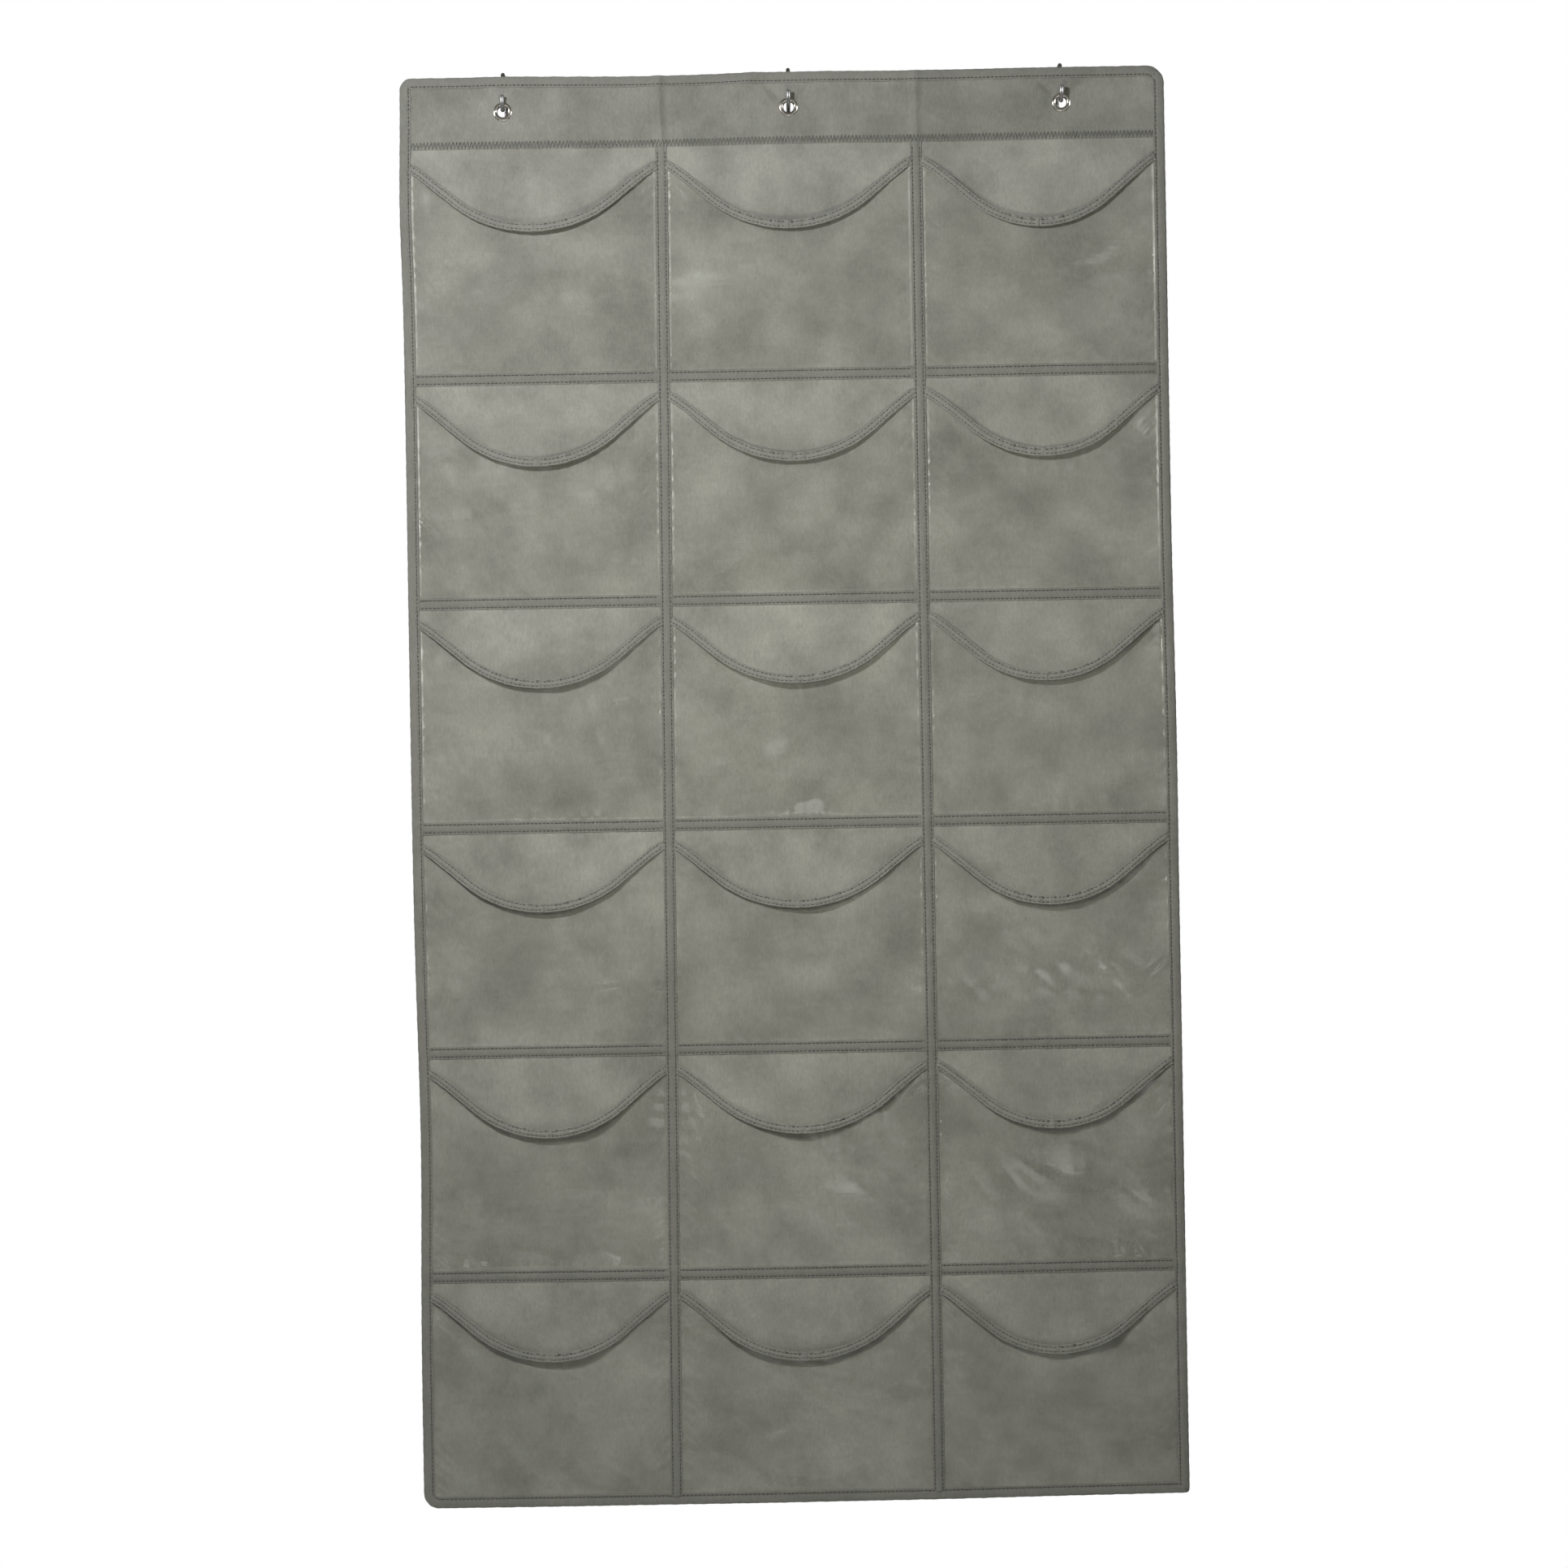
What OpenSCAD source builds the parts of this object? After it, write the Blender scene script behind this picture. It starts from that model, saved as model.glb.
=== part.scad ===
// Over-the-door shoe organizer: a sewn fabric panel with rows of clear film
// pockets, a header band with three eyelets, and three bent wire door hooks.
// Origin: on the door's top front edge, at the centre hook. +Z is up and the
// pockets face -Y. The door fills y = 0 to door_t below z = 0.

/* [Panel] */
// Width over the side bindings
panel_w = 580; // [540:5:640]
// Height over the top and bottom bindings
panel_h = 1085; // [1050:5:1200]
// Thickness of the fabric
panel_t = 0.8; // [0.6:0.1:1.2]
// Offset of the panel's centre line from the centre hook
panel_x = -5; // [-8:1:8]
// Radius of the panel's corners
corner_r = 10; // [4:1:14]
// Height of the header band, binding included
header_h = 55; // [48:1:70]

/* [Sewing] */
// Visible width of the edge binding
binding_w = 8.5; // [6:0.5:12]
// Thickness of the binding and of the row tapes
tape_t = 0.6; // [0.4:0.1:0.8]
// Height of the row tapes
row_tape_w = 9.2; // [7:0.2:12]
// Width of the column tapes
column_tape_w = 9; // [7:0.5:12]
// Centre of the left column tape, from the panel's centre line
left_tape_x = -94; // [-100:1:-86]
// Centre of the right column tape, from the panel's centre line
right_tape_x = 101; // [86:1:104]

/* [Pockets] */
// Number of pocket rows
rows = 6; // [4:1:6]
// Distance from one row seam to the next
row_pitch = 170.2; // [160:0.2:172]
// Thickness of the clear film
film_t = 0.4; // [0.3:0.1:0.6]
// How far an empty pocket stands off the fabric
pocket_depth = 8; // [6:0.5:14]
// Width of the slope beside each side seam
side_run = 46; // [16:1:60]
// Height of the slope above the bottom seam
bottom_run = 56; // [18:1:70]
// Drop from the row tape above to the corners of the mouth
mouth_drop = 4.5; // [4:0.5:12]
// How much more the top row's mouths drop, below the header
header_clear = 3.5; // [0:0.5:8]
// Depth of the scooped mouth
mouth_dip = 50; // [46:0.5:56]
// Angle of the mouth's straight flanks
mouth_angle = 40; // [38:1:42]
// Width of the binding on the mouth
mouth_binding_w = 6.5; // [5:0.5:8]

/* [Eyelets] */
// Radius of the eyelet's hole
eyelet_r = 4; // [3.5:0.25:5]
// Width of the eyelet's flange
flange_w = 3.4; // [2.8:0.2:4]
// Distance from the panel's top edge to the eyelet's centre
eyelet_drop = 27; // [24:1:34]
// Distance from the panel's side edges to the outer eyelets
eyelet_inset = 78; // [60:1:95]

/* [Hooks] */
// Diameter of the wire
wire_d = 3; // [2.5:0.5:3]
// Thickness of the door that the hooks fit
door_t = 40; // [30:1:50]
// Height of the hook's rear leg
rear_leg = 32; // [20:1:50]
// Radius of the bends over the door, along the wire's centre
door_bend_r = 4; // [3:0.5:6]
// Radius at which the tip curls away from the panel, along the wire's centre
tip_bend_r = 8; // [6:1:14]
// Lean of the tip's end away from the panel
tip_lean = 25; // [10:1:35]

/* [Hidden] */
$fn = 48;
cut_over = 1;            // how far a cut runs past the face it opens
move_gap = 0.3;          // gap between a pocket and the tapes around it
film_gap = 0.5;          // gap between a pocket's edges and the fabric
top_gap = 1.5;           // from the door's top down to the panel's top edge
hang_gap = 0.9;          // play of the wire in an eyelet
mouth_t = 0.6;           // thickness of the mouth binding on each face of the film

wire_r = wire_d / 2;
shank_y = -wire_r;
mid_y = -8.4;            // middle of fabric plus header, where the hooks pass
j_r = shank_y - mid_y;   // radius of the hook's J bend, along the wire's centre

front_y = mid_y;                   // front face of the fabric panel
rear_y = front_y + panel_t;        // rear face of the fabric panel
film_y = front_y - film_gap;       // rear plane of the pockets' films
top_z = -top_gap;
bottom_z = top_z - panel_h;
left_x = panel_x - panel_w / 2;
right_x = panel_x + panel_w / 2;
header_z = top_z - header_h;       // lower edge of the header band
eyelet_z = top_z - eyelet_drop;
wire_z = eyelet_z + eyelet_r - hang_gap - wire_r; // wire's centre in the eyelet
j_z = wire_z + j_r;                // centre of the J bend

sides = ["left", "center", "right"];
eyelet_x = [left_x + eyelet_inset, 0, right_x - eyelet_inset];
tape_x = [panel_x + left_tape_x, panel_x + right_tape_x];

// Cells between the tapes: left and right limits of each column
column_limits = [
    [left_x + binding_w, tape_x[0] - column_tape_w / 2],
    [tape_x[0] + column_tape_w / 2, tape_x[1] - column_tape_w / 2],
    [tape_x[1] + column_tape_w / 2, right_x - binding_w]
];

// Seam under row r, counted from 1 at the top
function seam_z(r) = bottom_z + binding_w / 2 + (rows - r) * row_pitch;
// Lowest and highest level of the cell in row r
function cell_bottom(r) =
    r == rows ? bottom_z + binding_w : seam_z(r) + row_tape_w / 2;
function cell_top(r) = r == 1 ? header_z : seam_z(r - 1) - row_tape_w / 2;
function mouth_corner(r) =
    cell_top(r) - mouth_drop - (r == 1 ? header_clear : 0);
function pocket_name(kind, r, c) = str(kind, "_r", r, "_c", c);

pocket_cells = [for (r = [1 : rows]) for (c = [1 : 3]) [r, c]];

edges = ["bottom", "right", "top", "left"];

fabric_color = "#8d8e86";
tape_color = "#7d7e77";
film_color = [0.85, 0.87, 0.86, 0.35];
nickel_color = "#c9c5bd";
steel_color = "#9a9a98";

// Box from its low and high corners
module block(low, high) {
    translate(low) cube(high - low);
}

// Outline in x and z, extruded from y1 forwards to y0
module front_prism(y0, y1) {
    translate([0, y1, 0])
        rotate([90, 0, 0])
            linear_extrude(height = y1 - y0)
                children();
}

// Plate in the panel's outline, set in from its edges, from y0 to y1
module outline_plate(inset, y0, y1) {
    r = corner_r - inset;
    low = [left_x + inset, bottom_z + inset];
    high = [right_x - inset, top_z - inset];
    block([low[0] + r, y0, low[1]], [high[0] - r, y1, high[1]]);
    block([low[0], y0, low[1] + r], [high[0], y1, high[1] - r]);
    for (x = [low[0] + r, high[0] - r])
        for (z = [low[1] + r, high[1] - r])
            translate([x, y0, z])
                rotate([-90, 0, 0])
                    cylinder(r = r, h = y1 - y0);
}

// Hole through fabric and header for the barrel of each eyelet
module eyelet_holes() {
    for (x = eyelet_x)
        translate([x, rear_y + cut_over, eyelet_z])
            rotate([90, 0, 0])
                cylinder(r = eyelet_r + tape_t, h = 2 * (panel_t + cut_over));
}

module back_panel() {
    color(fabric_color)
        difference() {
            outline_plate(tape_t, front_y, rear_y);
            eyelet_holes();
        }
}

module header_band() {
    color(fabric_color)
        difference() {
            block([left_x + binding_w, front_y - panel_t, header_z],
                  [right_x - binding_w, front_y, top_z - binding_w]);
            eyelet_holes();
        }
}

// Corner of the panel, counted from the lower left, set in by a distance
function corner(i, inset) = [
    i % 4 == 0 || i % 4 == 3 ? left_x + inset : right_x - inset,
    i % 4 < 2 ? bottom_z + inset : top_z - inset
];

// Length of tape folded over one edge, with a mitre at each end
module edge_binding(i) {
    color(tape_color)
        difference() {
            intersection() {
                outline_plate(0, front_y - tape_t, rear_y + tape_t);
                front_prism(front_y - cut_over, rear_y + cut_over)
                    polygon([
                        corner(i, -cut_over), corner(i + 1, -cut_over),
                        corner(i + 1, 2 * binding_w), corner(i, 2 * binding_w)
                    ]);
            }
            outline_plate(tape_t, front_y, rear_y);
            block([left_x + binding_w, front_y - cut_over, bottom_z + binding_w],
                  [right_x - binding_w, rear_y + cut_over, top_z - binding_w]);
        }
}

module row_tape(r) {
    color(tape_color)
        block([left_x + binding_w, front_y - tape_t, seam_z(r) - row_tape_w / 2],
              [right_x - binding_w, front_y, seam_z(r) + row_tape_w / 2]);
}

// A column tape lies over the row tapes, which pass under it in notches
module column_tape(x) {
    half_w = column_tape_w / 2;
    color(tape_color)
        difference() {
            block([x - half_w, front_y - 2 * tape_t, bottom_z + binding_w],
                  [x + half_w, front_y, header_z]);
            for (r = [1 : rows - 1])
                block([x - half_w - cut_over, front_y - tape_t,
                       seam_z(r) - row_tape_w / 2],
                      [x + half_w + cut_over, front_y + cut_over,
                       seam_z(r) + row_tape_w / 2]);
        }
}

// Solid under the face of a pocket: an upright section cut with a level one.
// grow moves all its faces out; its rear runs a little past the film's edges.
module pocket_solid(r, c, grow) {
    x0 = column_limits[c - 1][0] + move_gap;
    x1 = column_limits[c - 1][1] - move_gap;
    z0 = cell_bottom(r) + move_gap;
    z1 = mouth_corner(r) + 2 * mouth_t;
    depth = pocket_depth + grow;
    front = film_y - depth;
    rear = film_y + cut_over;
    // Slopes, and how far a face that moves out by grow moves its edge
    rise = bottom_run / pocket_depth;
    z_edge = z0 - grow * sqrt(1 + rise * rise);
    run = side_run / pocket_depth;
    x_edge = grow * sqrt(1 + run * run);
    intersection() {
        translate([x0, 0, 0])
            rotate([90, 0, 90])
                linear_extrude(height = x1 - x0)
                    polygon([
                        [rear, z_edge], [film_y, z_edge],
                        [front, z_edge + rise * depth], [front, z1], [rear, z1]
                    ]);
        translate([0, 0, z0])
            linear_extrude(height = z1 - z0)
                polygon([
                    [x0 - x_edge, rear], [x0 - x_edge, film_y],
                    [x0 - x_edge + run * depth, front],
                    [x1 + x_edge - run * depth, front],
                    [x1 + x_edge, film_y], [x1 + x_edge, rear]
                ]);
    }
}

// Everything behind the edges of a pocket's film
module behind_film() {
    block([left_x, film_y, bottom_z], [right_x, rear_y, top_z]);
}

// Space above the scooped mouth, moved down by drop, square to the edge
module mouth_space(r, c, drop) {
    limits = column_limits[c - 1];
    half = (limits[1] - limits[0]) / 2;
    arc_r = (half * tan(mouth_angle) - mouth_dip) / (1 / cos(mouth_angle) - 1);
    low_r = arc_r + drop;
    tangent_x = low_r * sin(mouth_angle);
    tangent_z = arc_r - mouth_dip - low_r * cos(mouth_angle);
    corner_z = -drop / cos(mouth_angle);
    translate([(limits[0] + limits[1]) / 2, 0, mouth_corner(r)])
        front_prism(film_y - 2 * pocket_depth, film_y + cut_over) {
            polygon([
                [-half, corner_z], [-tangent_x, tangent_z],
                [tangent_x, tangent_z], [half, corner_z],
                [half, mouth_dip], [-half, mouth_dip]
            ]);
            translate([0, arc_r - mouth_dip])
                circle(r = low_r, $fn = 96);
        }
}

module pocket_film(r, c) {
    color(film_color)
        difference() {
            pocket_solid(r, c, 0);
            pocket_solid(r, c, -film_t);
            mouth_space(r, c, 0);
            behind_film();
        }
}

// Tape folded over the mouth's edge, on both faces of the film
module mouth_binding(r, c) {
    color(tape_color)
        difference() {
            intersection() {
                pocket_solid(r, c, mouth_t);
                mouth_space(r, c, mouth_binding_w);
            }
            pocket_solid(r, c, -film_t - mouth_t);
            pocket_film(r, c);
            mouth_space(r, c, -mouth_t);
            behind_film();
        }
}

// Rolled eyelet: barrel, domed front flange and rear lip, turned about Y
module eyelet(x) {
    dome_r = flange_w / 2;
    dome_sink = 0.6;         // depth of the dome's centre under the fabric's face
    lip_r = 0.8;
    lip_at = -panel_t - tape_t;
    color(nickel_color)
        translate([x, mid_y, eyelet_z])
            rotate([90, 0, 0])
                rotate_extrude($fn = 64) {
                    translate([eyelet_r, lip_at])
                        square([tape_t, panel_t - lip_at]);
                    intersection() {
                        translate([eyelet_r + dome_r, panel_t - dome_sink])
                            circle(r = dome_r);
                        translate([eyelet_r, panel_t])
                            square([flange_w, flange_w]);
                    }
                    intersection() {
                        translate([eyelet_r + lip_r, lip_at])
                            circle(r = lip_r);
                        translate([eyelet_r, lip_at - lip_r])
                            square([2 * lip_r, lip_r]);
                    }
                }
}

// Flat ring behind the fabric, under the eyelet's rear lip
module washer(x) {
    color(nickel_color)
        translate([x, rear_y, eyelet_z])
            rotate([-90, 0, 0])
                difference() {
                    cylinder(r = eyelet_r + flange_w, h = tape_t);
                    translate([0, 0, -cut_over])
                        cylinder(r = eyelet_r + tape_t, h = tape_t + 2 * cut_over);
                }
}

// Bend of the wire about (y, z), between two angles from +Y towards +Z
module wire_bend(y, z, bend_r, from, to) {
    translate([0, y, z])
        rotate([90, 0, 90])
            rotate([0, 0, from])
                rotate_extrude(angle = to - from)
                    translate([bend_r, 0])
                        circle(r = wire_r);
}

// Straight wire from (y, z), at an angle from +Z towards +Y
module wire_run(y, z, length, angle) {
    translate([0, y, z])
        rotate([-angle, 0, 0])
            cylinder(r = wire_r, h = length);
}

// Door hook: tip, J bend through the eyelet, shank, run over the door, rear leg
module hook(x) {
    run_z = wire_r;                    // level of the run over the door
    bend_z = run_z - door_bend_r;
    leg_y = door_t + wire_r;
    color(steel_color)
        translate([x, 0, 0]) {
            wire_bend(mid_y - j_r - tip_bend_r, j_z, tip_bend_r, 0, tip_lean);
            wire_bend(mid_y, j_z, j_r, -180, 0);
            wire_run(shank_y, j_z, bend_z - j_z, 0);
            wire_bend(shank_y + door_bend_r, bend_z, door_bend_r, 90, 180);
            wire_run(shank_y + door_bend_r, run_z,
                     leg_y - shank_y - 2 * door_bend_r, 90);
            wire_bend(leg_y - door_bend_r, bend_z, door_bend_r, 0, 90);
            wire_run(leg_y, -rear_leg, rear_leg + bend_z, 0);
        }
}

back_panel();
header_band();
for (i = [0 : 3])
    edge_binding(i);
column_tape(tape_x[0]);  // left_column_tape
column_tape(tape_x[1]);  // right_column_tape
for (r = [1 : rows - 1])
    row_tape(r);
for (cell = pocket_cells)
    pocket_film(cell[0], cell[1]);
for (cell = pocket_cells)
    mouth_binding(cell[0], cell[1]);
for (i = [0 : 2])
    eyelet(eyelet_x[i]);
for (i = [0 : 2])
    washer(eyelet_x[i]);
for (i = [0 : 2])
    hook(eyelet_x[i]);
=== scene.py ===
"""Looks of the over-the-door shoe organizer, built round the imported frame."""

import math

import bpy
import numpy as np
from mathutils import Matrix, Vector


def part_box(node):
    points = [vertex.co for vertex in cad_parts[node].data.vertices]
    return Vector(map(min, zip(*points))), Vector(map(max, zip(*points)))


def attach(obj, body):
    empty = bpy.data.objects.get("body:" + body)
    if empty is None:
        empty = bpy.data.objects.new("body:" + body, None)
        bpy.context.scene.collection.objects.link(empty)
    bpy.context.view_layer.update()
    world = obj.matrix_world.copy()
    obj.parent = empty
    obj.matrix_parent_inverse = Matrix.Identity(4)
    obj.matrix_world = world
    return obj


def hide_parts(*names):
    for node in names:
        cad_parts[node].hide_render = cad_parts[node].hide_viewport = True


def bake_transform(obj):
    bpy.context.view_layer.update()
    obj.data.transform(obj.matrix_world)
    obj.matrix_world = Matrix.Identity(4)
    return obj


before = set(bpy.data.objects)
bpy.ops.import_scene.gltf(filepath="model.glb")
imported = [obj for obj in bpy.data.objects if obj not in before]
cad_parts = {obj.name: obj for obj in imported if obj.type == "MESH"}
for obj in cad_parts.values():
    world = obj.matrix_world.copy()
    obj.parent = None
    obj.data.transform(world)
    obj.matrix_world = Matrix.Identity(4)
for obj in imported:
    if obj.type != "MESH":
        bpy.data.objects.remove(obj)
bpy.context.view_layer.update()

MM = 0.001
ROWS = range(1, 7)
COLUMNS = range(1, 4)
SIDES = ("left", "center", "right")


def low(node, axis):
    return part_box(node)[0][axis]


def high(node, axis):
    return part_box(node)[1][axis]


def middle(node, axis):
    return (low(node, axis) + high(node, axis)) / 2


X, Y, Z = 0, 1, 2

# ---------------------------------------------------------------- places
FABRIC_FRONT = low("back_panel", Y)
FABRIC_T = high("back_panel", Y) - low("back_panel", Y)
LEFT = low("left_binding", X)
RIGHT = high("right_binding", X)
TOP = high("top_binding", Z)
BOTTOM = low("bottom_binding", Z)
HEIGHT = TOP - BOTTOM
BINDING_W = high("left_binding", X) - low("left_binding", X)
TAPE_W = high("left_column_tape", X) - low("left_column_tape", X)
ROW_TAPE_W = high("row_tape_1", Z) - low("row_tape_1", Z)
HEADER_EDGE = low("header_band", Z)
COLUMN_X = [middle("left_column_tape", X), middle("right_column_tape", X)]
SEAM_Z = [middle(f"row_tape_{r}", Z) for r in range(1, 6)]
EYELETS = [(middle(f"{s}_eyelet", X), middle(f"{s}_eyelet", Z)) for s in SIDES]
# Corner radii, from the bottom left round to the top left
CORNER_R = (12 * MM, 3.5 * MM, 13.5 * MM, 9 * MM)
TAPE_T = 0.6 * MM
THREAD_R = 0.38 * MM
STITCH_PITCH = 3.1 * MM
STITCH_LENGTH = 2.3 * MM


# ---------------------------------------------------------------- cloth shape
def bell(v, width):
    return np.exp(-((v / width) ** 2))


def ramp(v):
    """0 to 1 with level ends."""
    v = np.clip(v, 0, 1)
    return v * v * (3 - 2 * v)


PULL_REACH = 90 * MM
TAPE_LEAN = 3 * MM
HEM_TILT = 1.5 * MM
DROOP = (1.5 * MM, 0.8 * MM)
FLAT_R = 20 * MM


def drift(x, z):
    """How far the cloth is pulled out of true in its own plane, as (dx, dz).

    The left column tape leans, the sides bow, the top edge droops between the
    eyelets and the hem tilts."""
    down = (TOP - z) / HEIGHT
    lean = TAPE_LEAN * (0.7 - 2 * down) * bell(x - COLUMN_X[0], PULL_REACH) * ramp(down / 0.06)
    left_edge = bell(x - LEFT, PULL_REACH) * (
        2.4 * MM * bell(down - 0.74, 0.1) - 1.6 * MM * bell(down - 0.09, 0.05)
    )
    right_edge = 1.6 * MM * bell(x - RIGHT, PULL_REACH) * ramp((down - 0.3) / 0.2)
    droop = np.zeros_like(x)
    for (x0, _), (x1, _), depth in zip(EYELETS, EYELETS[1:], DROOP):
        t = np.clip((x - x0) / (x1 - x0), 0, 1)
        droop = droop - depth * np.sin(math.pi * t) ** 2
    droop = droop * np.exp(-down / 0.08)
    hem = ramp((down - 0.9) / 0.1) * HEM_TILT * (x - (LEFT + RIGHT) / 2) / (RIGHT - LEFT)
    return lean + left_edge + right_edge, droop + hem


def near_eyelet(x, z):
    """1 away from the eyelets, 0 at them and above them, where the hooks hold the cloth flat."""
    free = 1.0
    for ex, ez in EYELETS:
        away = np.hypot(x - ex, np.minimum(z - ez, 0))
        free = free * (1 - np.exp(-((away / FLAT_R) ** 4)))
    return free


def swell(x, z):
    """Long shallow waves of the hanging cloth: height, pace along x and z, start."""
    waves = ((1.1, 9, 5.2, 0.6), (0.8, 17, -7, 2.1), (0.5, -23, 19, 4.0), (0.3, 41, 33, 1.2))
    return sum(
        height * MM * np.sin(kx * x + kz * z + start) for height, kx, kz, start in waves
    )


def header_creases(x, z):
    """Ridges in the header above the column tapes, and a slanting one beside the left tape."""
    crease = 0.0
    above_tapes = ramp((z - HEADER_EDGE + 12 * MM) / (26 * MM))
    on_header = ramp((z - HEADER_EDGE) / (5 * MM))
    for cx, right_run, sharp in zip(COLUMN_X, (9 * MM, 34 * MM), (1.0, 0.5)):
        run = np.where(x > cx, right_run, 7 * MM)
        crease = crease + 2.2 * MM * np.exp(-np.abs(x - cx) / run) * above_tapes
        pinch = 1.3 * bell(x - cx, 2.0 * MM) - 0.5 * bell(np.abs(x - cx) - 5.5 * MM, 2 * MM)
        crease = crease + pinch * MM * on_header * sharp
    beside = x - COLUMN_X[0] - 50 * MM
    slanting = bell(beside - 1.2 * (z - TOP + 20 * MM), 11 * MM)
    high_up = ramp((z - HEADER_EDGE) / (20 * MM))
    return crease + 2.6 * MM * slanting * high_up * bell(beside, 60 * MM)


def wobble(v, period, slow, sway=2.0, start=0.0):
    """Uneven wave of one period, whose beat shifts slowly."""
    return np.sin(2 * math.pi * v / period + sway * np.sin(v / slow) + start)


def seam_puckers(x, z):
    """Small waves that the sewing leaves beside the tapes and the edges."""
    pucker = 0.0
    for k, cx in enumerate(COLUMN_X):
        pucker = pucker + 0.22 * MM * bell(x - cx, 13 * MM) * wobble(
            z, 13 * MM, 31 * MM, start=k
        )
    for k, sz in enumerate(SEAM_Z):
        pucker = pucker + 0.22 * MM * bell(z - sz, 12 * MM) * wobble(
            x, 12 * MM, 27 * MM, start=2 * k
        )
    for k, (a, b) in enumerate(((x - LEFT, z), (RIGHT - x, z), (TOP - z, x), (z - BOTTOM, x))):
        pucker = pucker + 0.3 * MM * bell(a, 14 * MM) * wobble(b, 17 * MM, 43 * MM, 2.5, k)
    return pucker


def eyelet_folds(x, z):
    """Grooves that run up and outwards from each eyelet, deepest at the middle one."""
    folds = 0.0
    for (ex, ez), deep in zip(EYELETS, (1.0 * MM, 1.7 * MM, 1.0 * MM)):
        for side in (-1, 1):
            along = (side * (x - ex) + z - ez) * math.sqrt(0.5)
            off = (side * (x - ex) - z + ez) * math.sqrt(0.5)
            reach = ramp((along - 6 * MM) / (5 * MM)) * ramp((34 * MM - along) / (18 * MM))
            folds = folds - deep * bell(off, 2.8 * MM) * reach
    return folds


def drape(x, z):
    """How far the hanging cloth stands forward of its flat plane."""
    down = (TOP - z) / HEIGHT
    to_left = np.clip((COLUMN_X[0] - x) / (COLUMN_X[0] - LEFT), 0, 1)
    to_right = np.clip((x - COLUMN_X[1]) / (RIGHT - COLUMN_X[1]), 0, 1)
    fold = 3.5 * MM * down - 2 * MM * down * to_left - 9 * MM * down * to_right
    waves = fold + swell(x, z) + header_creases(x, z) + seam_puckers(x, z)
    return waves * near_eyelet(x, z) + eyelet_folds(x, z)


def on_cloth(x, z, lift):
    """Points that stand lift forward of the cloth's front face at (x, z)."""
    x, z, lift = np.broadcast_arrays(np.asarray(x, float), np.asarray(z, float), lift)
    dx, dz = drift(x, z)
    return np.stack([x + dx, FABRIC_FRONT - lift - drape(x, z), z + dz], axis=-1)


# ---------------------------------------------------------------- mesh making
def make_mesh(name, points, faces):
    """Smooth-shaded object from an (n, 3) array and a list of (k, m) arrays of faces."""
    mesh = bpy.data.meshes.new(name)
    faces = [f for group in faces for f in group.tolist()]
    mesh.from_pydata(points.reshape(-1, 3).tolist(), [], faces)
    mesh.polygons.foreach_set("use_smooth", [True] * len(mesh.polygons))
    mesh.update()
    piece = bpy.data.objects.new(name, mesh)
    bpy.context.scene.collection.objects.link(piece)
    return piece


def grid_faces(rows, columns):
    """Quads between the points of a grid, numbered row by row."""
    a = (np.arange(rows - 1)[:, None] * columns + np.arange(columns - 1)).ravel()
    return np.stack([a, a + 1, a + columns + 1, a + columns], axis=1)


def open_edges(faces):
    """Directed edges that only one face uses."""
    edges = np.concatenate([np.stack([faces[:, k], faces[:, k - 3]], axis=1) for k in range(4)])
    low_end, high_end = edges.min(axis=1), edges.max(axis=1)
    key = low_end * (faces.max() + 1) + high_end
    _, first, count = np.unique(key, return_index=True, return_counts=True)
    return edges[first[count == 1]]


def shell(name, front, back, hole=None):
    """Closed thin sheet from two (rows, columns, 3) grids, without the faces all in the hole."""
    rows, columns = front.shape[:2]
    faces = grid_faces(rows, columns)
    if hole is not None:
        faces = faces[~hole.ravel()[faces].all(axis=1)]
    used, faces = np.unique(faces, return_inverse=True)
    faces = faces.reshape(-1, 4)
    n = len(used)
    edge = open_edges(faces)
    walls = np.stack([edge[:, 1], edge[:, 0], edge[:, 0] + n, edge[:, 1] + n], axis=1)
    points = np.concatenate([front.reshape(-1, 3)[used], back.reshape(-1, 3)[used]])
    return make_mesh(name, points, [faces, faces[:, ::-1] + n, walls])


def tube(name, rings):
    """Closed tube through (count, around, 3) rings, with flat ends."""
    count, around = rings.shape[:2]
    i = np.arange(count - 1)[:, None] * around
    j = np.arange(around)
    k = (j + 1) % around
    quads = np.stack([i + j, i + k, i + around + k, i + around + j], axis=-1).reshape(-1, 4)
    ends = [np.arange(around)[None, ::-1], (count - 1) * around + np.arange(around)[None, :]]
    piece = make_mesh(name, rings, [quads, *ends])
    for face in list(piece.data.polygons)[-2:]:
        face.use_smooth = False
    return piece


# ---------------------------------------------------------------- paths on the cloth
class Path:
    """A line on the cloth with its length and the direction square to it."""

    def __init__(self, x, z, turn=1):
        self.x, self.z = np.asarray(x, float), np.asarray(z, float)
        dx, dz = np.gradient(self.x), np.gradient(self.z)
        size = np.hypot(dx, dz)
        self.nx, self.nz = -turn * dz / size, turn * dx / size
        steps = np.hypot(np.diff(self.x), np.diff(self.z))
        self.s = np.concatenate([[0], np.cumsum(steps)])
        self.length = self.s[-1]

    def at(self, s, n=0.0):
        """(x, z) at length s, n to the side."""
        x, z = np.interp(s, self.s, self.x), np.interp(s, self.s, self.z)
        nx, nz = np.interp(s, self.s, self.nx), np.interp(s, self.s, self.nz)
        return x + n * nx, z + n * nz


def straight(x0, z0, x1, z1, step=3 * MM):
    count = max(3, int(math.hypot(x1 - x0, z1 - z0) / step))
    t = np.linspace(0, 1, count)
    return Path(x0 + (x1 - x0) * t, z0 + (z1 - z0) * t)


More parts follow.
